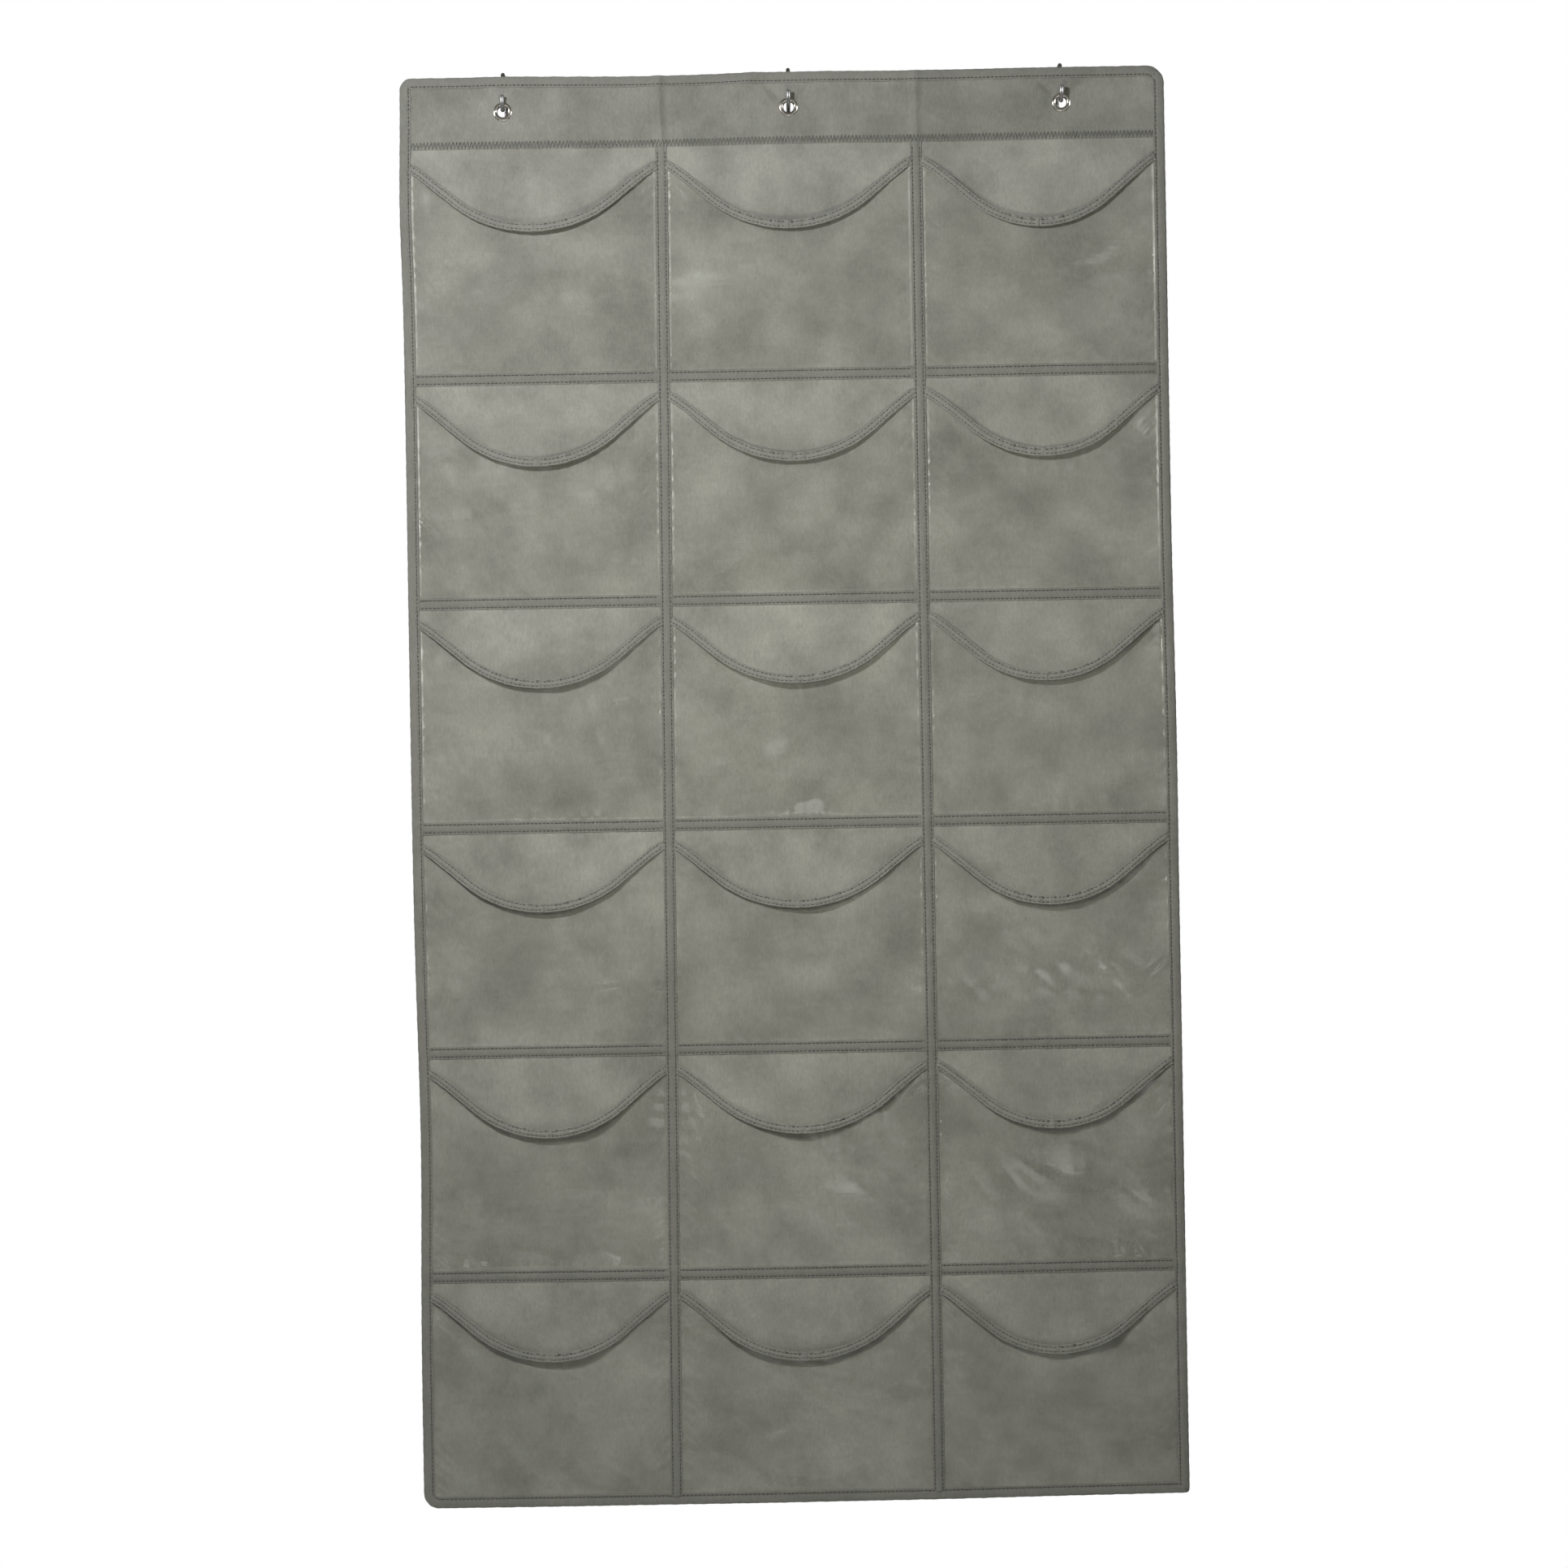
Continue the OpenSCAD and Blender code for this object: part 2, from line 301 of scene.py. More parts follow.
def edge_path(edge):
    """Outer edge of the panel from mid corner to mid corner; n is measured inwards."""
    k = ("bottom", "right", "top", "left").index(edge)
    ends = [((LEFT, 1), (BOTTOM, 1)), ((RIGHT, -1), (BOTTOM, 1)),
            ((RIGHT, -1), (TOP, -1)), ((LEFT, 1), (TOP, -1))]
    facing = math.radians(-90 + 90 * k)
    x, z = [], []
    for corner, start in ((k, facing - math.pi / 4), ((k + 1) % 4, facing)):
        r = CORNER_R[corner]
        (ex, sx), (ez, sz) = ends[corner]
        turn = np.linspace(start, start + math.pi / 4, 9)
        x.append(ex + sx * r + r * np.cos(turn))
        z.append(ez + sz * r + r * np.sin(turn))
    count = int(math.hypot(x[1][0] - x[0][-1], z[1][0] - z[0][-1]) / (2.2 * MM))
    t = np.linspace(0, 1, count)[1:-1]
    x.insert(1, x[0][-1] + (x[1][0] - x[0][-1]) * t)
    z.insert(1, z[0][-1] + (z[1][0] - z[0][-1]) * t)
    return Path(np.concatenate(x), np.concatenate(z))


def ripple(s, seed, period=7 * MM):
    """Uneven wave along a seam, from -1 to 1."""
    return 0.6 * np.sin(2 * math.pi * s / period + 1.7 * np.sin(s / (19 * MM) + seed) + seed) + \
        0.4 * np.sin(2 * math.pi * s / (2.7 * period) + 3 * seed)


def level(x, z):
    """Ground of a strip that lies straight on the cloth."""
    return 0.0


def strip(name, path, section, seed, rise=0.0, ground=level, waver=0.25 * MM, swell=0.12 * MM):
    """Tape along a path: section is a closed loop of (n, lift, softness).

    rise lifts only its front; ground lifts all of it."""
    n, lift, soft = (np.asarray(v, float) for v in zip(*section))
    s = path.s[:, None]
    side = n + waver * soft * ripple(s, seed) * np.sign(n - n.mean())
    x = path.x[:, None] + side * path.nx[:, None]
    z = path.z[:, None] + side * path.nz[:, None]
    bumps = soft * (lift > 0) * swell * ripple(s + n, seed + 1.3, 5.5 * MM)
    rise = np.broadcast_to(rise, path.s.shape)[:, None] * (lift > 0) * (soft > 0)
    return tube(name, on_cloth(x, z, lift + bumps + rise + ground(x, z)))


def tape_section(width, thickness, stitch_in):
    """Folded tape lying on the cloth, puffed up between its two lines of stitches."""
    h, g = width / 2, width / 2 - stitch_in
    right = [
        (0, 1.5), (g - 1.7 * MM, 1.4), (g - 1.0 * MM, 1.05), (g - 0.5 * MM, 0.6), (g, 0.42),
        (g + 0.45 * MM, 0.62), (g + 0.9 * MM, 0.86), (h - 0.3 * MM, 0.8), (h - 0.1 * MM, 0.55),
        (h, 0.2),
    ]
    outer = [(-n, thickness * k, 1) for n, k in reversed(right[1:])]
    outer += [(n, thickness * k, 1) for n, k in right]
    return outer + [(h - 0.1 * MM, 0.02 * MM, 0), (-h + 0.1 * MM, 0.02 * MM, 0)]


def fold_section(width, thickness):
    """Tape folded over the panel's edge, from its front edge round to its rear edge."""
    rear = -FABRIC_T
    front = [
        (width, 0.1 * MM, 0), (width + 0.02 * MM, 0.55 * thickness, 1),
        (width - 0.35 * MM, thickness, 1), (width - 0.9 * MM, 0.9 * thickness, 1),
        (width - 1.3 * MM, 0.6 * thickness, 1), (width - 1.75 * MM, 0.42 * thickness, 1),
        (width - 2.3 * MM, 0.7 * thickness, 1), (width - 3.1 * MM, 1.2 * thickness, 1),
        (width / 2, 1.5 * thickness, 1), (1.3 * MM, 1.2 * thickness, 1),
        (0.35 * MM, 0.6 * thickness, 1), (0, 0.1 * thickness + rear / 2, 0.6),
    ]
    back = [(n, rear - lift, 0.6 * soft) for n, lift, soft in reversed(front[:-1])]
    inside = [(width - 0.6 * MM, rear - 0.04 * MM, 0), (0.7 * MM, rear - 0.04 * MM, 0),
              (0.7 * MM, 0.04 * MM, 0), (width - 0.6 * MM, 0.04 * MM, 0)]
    return front + back + inside


# ---------------------------------------------------------------- thread
THREAD_SIDES = 6
THREAD_ALONG = np.array([0.0, 0.12, 0.5, 0.88, 1.0])
THREAD_FAT = np.array([0.35, 0.9, 1.0, 0.9, 0.35])
THREAD_UP = np.array([-0.9, 0.1, 0.75, 0.1, -0.9])


def thread(name, start, end, up):
    """Stitches as one mesh: each an arched capsule from start to end, bulging along up."""
    start, end, up = (np.asarray(v, float) for v in (start, end, up))
    along = end - start
    side = np.cross(along, up)
    side /= np.linalg.norm(side, axis=1)[:, None]
    a = np.arange(THREAD_SIDES) * 2 * math.pi / THREAD_SIDES
    t = THREAD_ALONG[None, :, None, None]
    centre = start[:, None, None] + along[:, None, None] * t
    centre = centre + up[:, None, None] * (THREAD_UP * THREAD_R)[None, :, None, None]
    round_it = (
        side[:, None, None] * np.cos(a)[None, None, :, None]
        + up[:, None, None] * np.sin(a)[None, None, :, None]
    )
    points = centre + round_it * (THREAD_FAT * THREAD_R)[None, :, None, None]
    count, rings = len(start), len(THREAD_ALONG)
    base = np.arange(count)[:, None, None] * rings * THREAD_SIDES
    i = np.arange(rings - 1)[None, :, None] * THREAD_SIDES
    j = np.arange(THREAD_SIDES)[None, None, :]
    k = (j + 1) % THREAD_SIDES
    quads = np.stack(
        [base + i + j, base + i + k, base + i + THREAD_SIDES + k, base + i + THREAD_SIDES + j],
        axis=-1,
    ).reshape(-1, 4)
    caps = base[:, 0] + np.arange(THREAD_SIDES)
    last = caps + (rings - 1) * THREAD_SIDES
    return make_mesh(name, points, [quads, caps[:, ::-1], last])


FORWARD = np.array([0.0, -1.0, 0.0])


def stitch_line(path, n, lift, ground=level, margin=2 * MM, gaps=()):
    """Starts and ends of a running line of stitches beside a path, on the cloth.

    gaps are (from, to) lengths along the path that something covers."""
    s = np.arange(margin, path.length - margin - STITCH_LENGTH, STITCH_PITCH)
    for gap in gaps:
        s = s[(s + STITCH_LENGTH < gap[0]) | (s > gap[1])]
    ends = []
    for at in (s, s + STITCH_LENGTH):
        x, z = path.at(at, n)
        up = np.interp(at, path.s, np.broadcast_to(lift, path.s.shape))
        ends.append(on_cloth(x, z, up + ground(x, z)))
    return ends


def sew(name, lines):
    start = np.concatenate([a for a, b in lines])
    end = np.concatenate([b for a, b in lines])
    return thread(name, start, end, np.broadcast_to(FORWARD, start.shape))


# ---------------------------------------------------------------- materials
def new_material(name):
    material = bpy.data.materials.new(name)
    material.use_nodes = True
    tree = material.node_tree
    shader = next(n for n in tree.nodes if n.type == "BSDF_PRINCIPLED")
    return material, tree, shader


def node(tree, kind, inputs=None, **settings):
    """New node, its settings set, and its inputs either linked or given a value."""
    made = tree.nodes.new(kind)
    for key, value in settings.items():
        setattr(made, key, value)
    for key, value in (inputs or {}).items():
        if isinstance(value, bpy.types.NodeSocket):
            tree.links.new(value, made.inputs[key])
        else:
            made.inputs[key].default_value = value
    return made


def place(tree, scale=(1, 1, 1)):
    """Position on the object, stretched."""
    coords = node(tree, "ShaderNodeTexCoord").outputs["Object"]
    return node(tree, "ShaderNodeMapping", {"Vector": coords, "Scale": scale}).outputs["Vector"]


def noise(tree, vector, scale, detail=3.0, rough=0.55):
    inputs = {"Vector": vector, "Scale": scale, "Detail": detail, "Roughness": rough}
    return node(tree, "ShaderNodeTexNoise", inputs).outputs["Fac"]


def colours(tree, factor, *stops):
    """Colour ramp from (position, colour) stops."""
    made = node(tree, "ShaderNodeValToRGB", {"Fac": factor})
    ramp_stops = made.color_ramp.elements
    while len(ramp_stops) < len(stops):
        ramp_stops.new(0.5)
    for stop, (position, colour) in zip(ramp_stops, stops):
        stop.position, stop.color = position, (*colour, 1)
    return made.outputs["Color"]


def math_node(tree, operation, a, b):
    return node(tree, "ShaderNodeMath", {0: a, 1: b}, operation=operation).outputs["Value"]


def multiplied(tree, a, b):
    """Product of two linked colours."""
    made = node(tree, "ShaderNodeMix", {0: 1.0, 6: a, 7: b}, data_type="RGBA", blend_type="MULTIPLY")
    return made.outputs[2]


def bump(tree, height, distance, strength=1.0, under=None):
    inputs = {"Height": height, "Distance": distance, "Strength": strength}
    if under is not None:
        inputs["Normal"] = under
    return node(tree, "ShaderNodeBump", inputs).outputs["Normal"]


def shade(colour, k):
    return tuple(c * k for c in colour)


def cloth_material(name, colour, fleck=0.1, cloud=0.23, emboss=0.05, tape=False):
    """Non-woven cloth: cloudy fibres pressed in a fine dot pattern. Tape has a ribbed weave."""
    material, tree, shader = new_material(name)
    here = place(tree)
    clouds = noise(tree, here, 21, 5, 0.62)
    fibres = noise(tree, place(tree, (1, 1, 0.35)), 700, 3, 0.7)
    tint = colours(tree, clouds, (0.3, shade(colour, 1 - cloud)), (0.7, shade(colour, 1 + cloud)))
    spread = colours(tree, fibres, (0.3, (1 - fleck,) * 3), (0.7, (1 + fleck,) * 3))
    tint = multiplied(tree, tint, spread)
    if tape:
        weave = node(
            tree, "ShaderNodeTexWave",
            {"Vector": place(tree, (1, 1, 1)), "Scale": 420.0, "Distortion": 2.5, "Detail": 2.0},
            bands_direction="DIAGONAL",
        ).outputs["Fac"]
        dots = weave
    else:
        cells = node(
            tree, "ShaderNodeTexVoronoi",
            {"Vector": place(tree, (1, 0.2, 1)), "Scale": 620.0, "Randomness": 0.35},
        ).outputs["Distance"]
        dots = cells
    # Darker where the bump of the dots and of the weave is low; the same pattern drives both.
    hollow_tone = colours(tree, dots, (0.1, (1 - 0.07,) * 3), (0.6, (1.03,) * 3))
    tint = multiplied(tree, tint, hollow_tone)
    normal = bump(tree, noise(tree, here, 120, 3, 0.6), 0.35 * MM, 0.5)
    normal = bump(tree, dots, emboss * MM, 0.6, normal)
    normal = bump(tree, fibres, 0.06 * MM, 0.7, normal)
    tree.links.new(tint, shader.inputs["Base Color"])
    tree.links.new(normal, shader.inputs["Normal"])
    shader.inputs["Roughness"].default_value = 0.9
    shader.inputs["Specular IOR Level"].default_value = 0.25
    shader.inputs["Sheen Weight"].default_value = 0.08
    shader.inputs["Sheen Roughness"].default_value = 0.5
    return material


def thread_material(name, colour):
    """Twisted sewing thread."""
    material, tree, shader = new_material(name)
    twist = node(
        tree, "ShaderNodeTexWave", {"Vector": place(tree), "Scale": 900.0, "Distortion": 1.0},
        bands_direction="DIAGONAL",
    ).outputs["Fac"]
    tint = colours(tree, twist, (0.0, shade(colour, 0.8)), (1.0, shade(colour, 1.15)))
    tree.links.new(tint, shader.inputs["Base Color"])
    tree.links.new(bump(tree, twist, 0.05 * MM), shader.inputs["Normal"])
    shader.inputs["Roughness"].default_value = 0.6
    return material


def film_material(name):
    """Clear soft film: mostly see-through, with a gloss that its fine wrinkles break up."""
    material, tree, shader = new_material(name)
    here = place(tree)
    coords = node(tree, "ShaderNodeTexCoord").outputs["Object"]
    turn = {"Vector": coords, "Rotation": (0, math.radians(42), 0), "Scale": (0.22, 1, 1)}
    leaning = node(tree, "ShaderNodeMapping", turn).outputs["Vector"]
    creases = noise(tree, leaning, 75, 3, 0.6)
    normal = bump(tree, creases, 0.5 * MM, 0.6)
    normal = bump(tree, noise(tree, here, 210, 2, 0.5), 0.06 * MM, 0.5, normal)
    tree.links.new(normal, shader.inputs["Normal"])
    haze = colours(
        tree, noise(tree, leaning, 26, 3, 0.6), (0.4, (0.32,) * 3), (0.56, (0.24,) * 3),
        (0.64, (0.12,) * 3),
    )
    tree.links.new(haze, shader.inputs["Roughness"])
    shader.inputs["Base Color"].default_value = (0.93, 0.93, 0.9, 1)
    shader.inputs["Metallic"].default_value = 1.0
    # See-through tint of the film: the overall slight dimming is the film's own; the soft darker
    # patches are painted shade standing in for its uneven reflections.
    tint_and_painted_mottle = colours(
        tree, noise(tree, leaning, 16, 4, 0.65), (0.32, (0.9, 0.9, 0.888)), (0.68, (0.985, 0.985, 0.98))
    )
    clear = node(tree, "ShaderNodeBsdfTransparent", {"Color": tint_and_painted_mottle})
    facing = node(tree, "ShaderNodeLayerWeight", {"Blend": 0.5, "Normal": normal})
    glance = math_node(tree, "POWER", facing.outputs["Facing"], 4.0)
    share = math_node(tree, "ADD", math_node(tree, "MULTIPLY", glance, 0.6), 0.05)
    both = node(tree, "ShaderNodeMixShader", {0: share, 1: clear.outputs[0], 2: shader.outputs[0]})
    out = next(n for n in tree.nodes if n.type == "OUTPUT_MATERIAL")
    tree.links.new(both.outputs[0], out.inputs["Surface"])
    return material


def metal_material(name, colour, rough, grain=0.02, streak=(1, 1, 1)):
    """Plated metal with faint marks and uneven gloss."""
    material, tree, shader = new_material(name)
    marks = noise(tree, place(tree, streak), 260, 4, 0.65)
    tint = colours(tree, marks, (0.3, shade(colour, 0.88)), (0.7, shade(colour, 1.05)))
    gloss = colours(tree, marks, (0.3, (rough * 0.7,) * 3), (0.75, (rough * 1.5,) * 3))
    tree.links.new(tint, shader.inputs["Base Color"])
    tree.links.new(gloss, shader.inputs["Roughness"])
    tree.links.new(bump(tree, marks, grain * MM, 0.5), shader.inputs["Normal"])
    shader.inputs["Metallic"].default_value = 1.0
    return material


def floor_material():
    material, tree, shader = new_material("studio_floor")
    tint = colours(tree, noise(tree, place(tree), 6), (0.3, (0.9,) * 3), (0.7, (0.93,) * 3))
    tree.links.new(tint, shader.inputs["Base Color"])
    shader.inputs["Roughness"].default_value = 0.7
    return material


FABRIC = cloth_material("nonwoven_fabric", (0.285, 0.285, 0.255))
HEADER_CLOTH = cloth_material("header_fabric", (0.225, 0.226, 0.203))
TAPE = cloth_material("binding_tape_cloth", (0.212, 0.212, 0.192), cloud=0.08, tape=True)
MOUTH_TAPE = cloth_material("mouth_tape_cloth", (0.245, 0.245, 0.223), cloud=0.08, tape=True)
# Stitch thread: its own colour darkened to near black with painted shade of the needle holes and
# puckers round each stitch.
SHADED_THREAD = thread_material("sewing_thread", (0.07, 0.07, 0.064))
ZIGZAG_THREAD = thread_material("zigzag_thread", (0.17, 0.17, 0.155))
FILM = film_material("clear_film")
NICKEL = metal_material("nickel_plate", (0.72, 0.69, 0.64), 0.2)
WIRE = metal_material("satin_wire", (0.42, 0.42, 0.43), 0.3, 0.03, (1, 1, 6))


def finished(piece, material):
    piece.data.materials.clear()
    piece.data.materials.append(material)
    return piece


def on_panel(piece, material, slot, *nodes):
    finished(piece, material)
    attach(piece, "panel")
    if nodes:
        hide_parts(*nodes)
    return piece


# ---------------------------------------------------------------- panel and header
PANEL_PITCH = 3 * MM
HOLE_R = 5.8 * MM
HEADER_T = 0.8 * MM
UNDER = 3 * MM


def rounded(x, z):
    """Squeezes a rectangle's corners to the panel's rounded ones, 1.2 mm inside its edge."""
    cx, cz = (LEFT + RIGHT) / 2, (TOP + BOTTOM) / 2
    right, up = x > cx, z > cz
    corner_r = np.where(
        right, np.where(up, CORNER_R[2], CORNER_R[1]), np.where(up, CORNER_R[3], CORNER_R[0])
    )
    hx, hz = (RIGHT - LEFT) / 2 - corner_r, (TOP - BOTTOM) / 2 - corner_r
    ox, oz = np.abs(x - cx) - hx, np.abs(z - cz) - hz
    corner = (ox > 0) & (oz > 0)
    size = np.where(corner, np.hypot(ox, oz), 1)
    k = np.where(corner, np.minimum(np.maximum(ox, oz), corner_r - 1.2 * MM) / size, 1)
    x = np.where(corner, cx + np.sign(x - cx) * (hx + ox * k), x)
    z = np.where(corner, cz + np.sign(z - cz) * (hz + oz * k), z)
    return x, z


def pierced(x, z):
    """Moves grid points out of the eyelets' holes, and says which were in one."""
    inside = np.zeros(x.shape, bool)
    for ex, ez in EYELETS:
        d = np.hypot(x - ex, z - ez)
        near = d < HOLE_R
        k = np.where(near, HOLE_R / np.maximum(d, 1e-6), 1)
        x, z = ex + (x - ex) * k, ez + (z - ez) * k
        inside |= near
    return x, z, inside


def cloth_grid(x0, x1, z0, z1, pitch):
    nx, nz = int((x1 - x0) / pitch) + 1, int((z1 - z0) / pitch) + 1
    return np.meshgrid(np.linspace(x0, x1, nx), np.linspace(z0, z1, nz))


def make_panel():
    inset = 1.2 * MM
    x, z = cloth_grid(LEFT + inset, RIGHT - inset, BOTTOM + inset, TOP - inset, PANEL_PITCH)
    x, z, inside = pierced(*rounded(x, z))
    piece = shell("back_panel_cloth", on_cloth(x, z, 0.0), on_cloth(x, z, -FABRIC_T), inside)
    return on_panel(piece, FABRIC, "panel_fabric", "back_panel")


def header_lift(z):
    """The header's front: pressed down along its zigzag, and rounded at its lower edge."""
    up = z - HEADER_EDGE
    pressed = 0.3 * MM * bell(up - 3.2 * MM, 3.2 * MM)
    return HEADER_T * np.sqrt(np.clip(up / (0.9 * MM), 0.02, 1)) - pressed


def make_header():
    inset = 1.4 * MM
    x, z = cloth_grid(LEFT + inset, RIGHT - inset, HEADER_EDGE, TOP - inset, 1.3 * MM)
    x, z, inside = pierced(*rounded(x, z))
    wave = 0.25 * MM * ripple(x, 2.0, 9 * MM) * bell(z - HEADER_EDGE, 9 * MM)
    front = on_cloth(x, z, header_lift(z) + wave * 0.5)
    back = on_cloth(x, z, 0.05 * MM)
    return on_panel(shell("header_cloth", front, back, inside), HEADER_CLOTH, "panel_fabric",
                    "header_band")


def zigzag():
    """Dense slanted stitches that hold the header's lower edge."""
    step = 2.75 * MM
    x = np.arange(LEFT + BINDING_W, RIGHT - BINDING_W, step)
    foot, head = HEADER_EDGE + 0.5 * MM, HEADER_EDGE + 6.2 * MM
    lines = []
    for x0, z0, x1, z1 in (
        (x, foot, x + 0.62 * step, head), (x + 0.68 * step, head, x + 0.98 * step, foot),
    ):
        ends = [
            on_cloth(x0, z0, header_lift(np.asarray(z0)) + 0.08 * MM),
            on_cloth(x1, z1, header_lift(np.asarray(z1)) + 0.08 * MM),
        ]
        lines.append(ends)
    return lines


# ---------------------------------------------------------------- tapes
def header_rise(z):
    return HEADER_T * ramp((z - HEADER_EDGE + 1 * MM) / (2 * MM))


def row_tape_rise(z):
    """How far the row tapes lift what crosses them."""
    over = 0.0
    for sz in SEAM_Z:
        over = over + ramp((ROW_TAPE_W / 2 + 1.6 * MM - np.abs(z - sz)) / (2.2 * MM))
    return TAPE_T * over


def make_edge_bindings():
    lines = []
    for k, edge in enumerate(("bottom", "right", "top", "left")):
        path = edge_path(edge)
        rise = header_rise(path.z) + (row_tape_rise(path.z) if edge in ("left", "right") else 0)
        piece = strip(f"{edge}_edge_binding", path, fold_section(BINDING_W, TAPE_T), k, rise)
        on_panel(piece, TAPE, "binding_tape", f"{edge}_binding")
        lines.append(stitch_line(path, BINDING_W - 1.75 * MM, 0.28 * MM + rise))
    return lines


def make_column_tapes():
    lines = []
    for k, side in enumerate(("left", "right")):
        x = COLUMN_X[k]
        path = straight(x, BOTTOM + BINDING_W - UNDER, x, HEADER_EDGE + 1 * MM, 1.6 * MM)
        rise = 0.15 * MM + row_tape_rise(path.z)
        piece = strip(f"{side}_column_tape_cloth", path, tape_section(TAPE_W, TAPE_T, 1.6 * MM),
                      10 + k, rise)
        on_panel(piece, TAPE, "binding_tape", f"{side}_column_tape")
        for n in (-1, 1):
            lines.append(stitch_line(path, n * (TAPE_W / 2 - 1.6 * MM), 0.28 * MM + rise))
    return lines


def make_row_tapes():
    lines = []
    for r, z in enumerate(SEAM_Z, 1):
        path = straight(LEFT + BINDING_W - UNDER, z, RIGHT - BINDING_W + UNDER, z, 2 * MM)
        piece = strip(f"row_tape_{r}_cloth", path, tape_section(ROW_TAPE_W, TAPE_T, 1.7 * MM),
                      20 + r, 0.0)
        on_panel(piece, TAPE, "binding_tape", f"row_tape_{r}")
        gaps = [(cx - TAPE_W / 2 - path.x[0], cx + TAPE_W / 2 - path.x[0]) for cx in COLUMN_X]
        for n in (-1, 1):
            side = n * (ROW_TAPE_W / 2 - 1.7 * MM)
            lines.append(stitch_line(path, side, 0.28 * MM, margin=4 * MM, gaps=gaps))
    return lines


# ---------------------------------------------------------------- pockets
MOUTH_DIP = 50 * MM
MOUTH_ANGLE = math.radians(40)
REACH = 105 * MM


class Pocket:
    """The shape of one pocket's film."""

    def __init__(self, row, column):
        self.row, self.column = row, column
        self.name = f"r{row}_c{column}"
        film = f"pocket_film_{self.name}"
        self.x0, self.x1 = low(film, X), high(film, X)
        self.bottom, self.corner = low(film, Z), high(film, Z)
        self.mid, self.half = (self.x0 + self.x1) / 2, (self.x1 - self.x0) / 2
        self.depth = FABRIC_FRONT - low(film, Y)
        self.arc_r = (self.half * math.tan(MOUTH_ANGLE) - MOUTH_DIP) / (
            1 / math.cos(MOUTH_ANGLE) - 1
        )
        random = np.random.default_rng(100 * row + column)
        self.fill = random.uniform(0.58, 0.8) - 0.06 * max(0, row - 3)
        self.lean = random.uniform(-0.2, 0.2)
        loose = 0.75 + 0.13 * row
        way = 1 if row > 3 else -1
        self.waves = [
            (
                amplitude * loose * random.uniform(0.6, 1.1) * MM,
                2 * math.pi / (length * random.uniform(0.75, 1.25) * MM),
                math.radians(random.normal(angle, spread)),
                random.uniform(0, 2 * math.pi),
            )
            for amplitude, length, angle, spread in (
                (0.7, 95, way * 45, 20), (0.5, 60, way * 50, 25), (0.3, 37, way * 50, 30),
                (0.15, 24, way * 60, 45),
            )
        ]
        self.gather = loose * random.uniform(0.1, 0.4) * MM
        self.gather_at = random.uniform(-0.5, 0.5)
        self.pull = loose * random.uniform(0.5, 1.0, 2) * MM
        self.phase = random.uniform(0, 2 * math.pi, 6)
        self.skew = random.uniform(-1.5, 1.5, 2) * MM
        self.slack_side = random.uniform(0.2, 0.4) + 0.1 * max(0, row - 3)
        self.slack_foot = random.uniform(0.1, 0.25) + 0.06 * max(0, row - 3)
        self.nip_at = self.bottom + random.uniform(0.2, 0.9) * (self.corner - self.bottom)
        self.dent_at = random.uniform(-0.15, 0.2)

    def mouth(self, x):
        """Height of the scooped mouth's edge."""
        u = np.abs(x - self.mid)
        flank = self.corner - (self.half - u) * math.tan(MOUTH_ANGLE)
        inner = np.minimum(u, self.arc_r * math.sin(MOUTH_ANGLE))
        arc = self.corner - MOUTH_DIP + self.arc_r - np.sqrt(self.arc_r**2 - inner**2)
        z = np.where(u < self.arc_r * math.sin(MOUTH_ANGLE), arc, flank)
        across = (x - self.mid) / self.half
        slack = self.skew[0] * across + self.skew[1] * (1 - across**2)
        shoulder = 2.6 * MM * np.exp(-np.clip(self.half - u, 0, None) / (5 * MM))
        return z - shoulder + slack * (1 - across**2)

    def folds(self, x, z):
        """Long slanting folds across the whole film."""
        folds = 0.0
        for height, k, angle, start in self.waves:
            along = (x - self.mid) * math.cos(angle) + (z - self.bottom) * math.sin(angle)
            bend = 0.8 * np.sin(0.35 * k * ((x - self.mid) + 0.6 * (z - self.bottom)) + start)
            folds = folds + height * np.sin(k * along + start + bend)
        return folds

    def corner_pulls(self, x, z):
        """Folds that fan out from the two ends of the mouth."""
        pulls = 0.0
        for side, strength, start in zip((-1, 1), self.pull, self.phase[1:]):
            cx = self.mid + side * self.half
            reach = np.hypot(x - cx, z - self.corner) + 1e-6
            turn = np.arctan2(self.corner - z, np.abs(x - cx) + 1e-6)
            pulls = pulls + 0.6 * strength * np.sin(6 * turn + start) * bell(
                reach - 34 * MM, 26 * MM
            )
        return pulls

    def mouth_gathers(self, x, down, across):
        """Short upright waves where the mouth's tape gathers the film."""
        wave = np.sin(2 * math.pi * x / (11 * MM) + self.phase[0] + np.sin(x / (9 * MM)))
        fade = np.exp(-np.clip(down, 0, None) / (16 * MM))
        return self.gather * bell(across - self.gather_at, 0.45) * fade * wave

    def hem_gathers(self, x, z, from_side, from_bottom):
        """Short slanting waves beside the side and bottom seams, in patches."""
        at_side = np.sin(
            2 * math.pi * (z + 0.9 * from_side) / (9.5 * MM) + self.phase[3]
            + 1.5 * np.sin(z / (17 * MM) + self.phase[4])
        ) * bell(from_side - 5 * MM, 8 * MM)
        at_foot = np.sin(
            2 * math.pi * (x + 0.5 * from_bottom) / (16 * MM) + self.phase[5]
            + 1.5 * np.sin(x / (23 * MM) + self.phase[2])
        ) * bell(from_bottom - 6 * MM, 8 * MM)
        patchy = 0.5 + 0.5 * np.sin(z / (26 * MM) + x / (40 * MM) + self.phase[1])
        return (self.slack_side * at_side + self.slack_foot * at_foot) * patchy**2 * MM

    def nips(self, z, from_side):
        """A run of small sharp puckers right at the side seams."""
        beat = np.sin(
            2 * math.pi * (z - 0.7 * from_side) / (8.3 * MM) + 2 * np.sin(z / (29 * MM))
            + self.phase[2]
        )
        run = bell(from_side - 2.6 * MM, 2.2 * MM) * bell(z - self.nip_at, 22 * MM)
        return 0.6 * MM * np.clip(beat, 0, 1) ** 2 * run

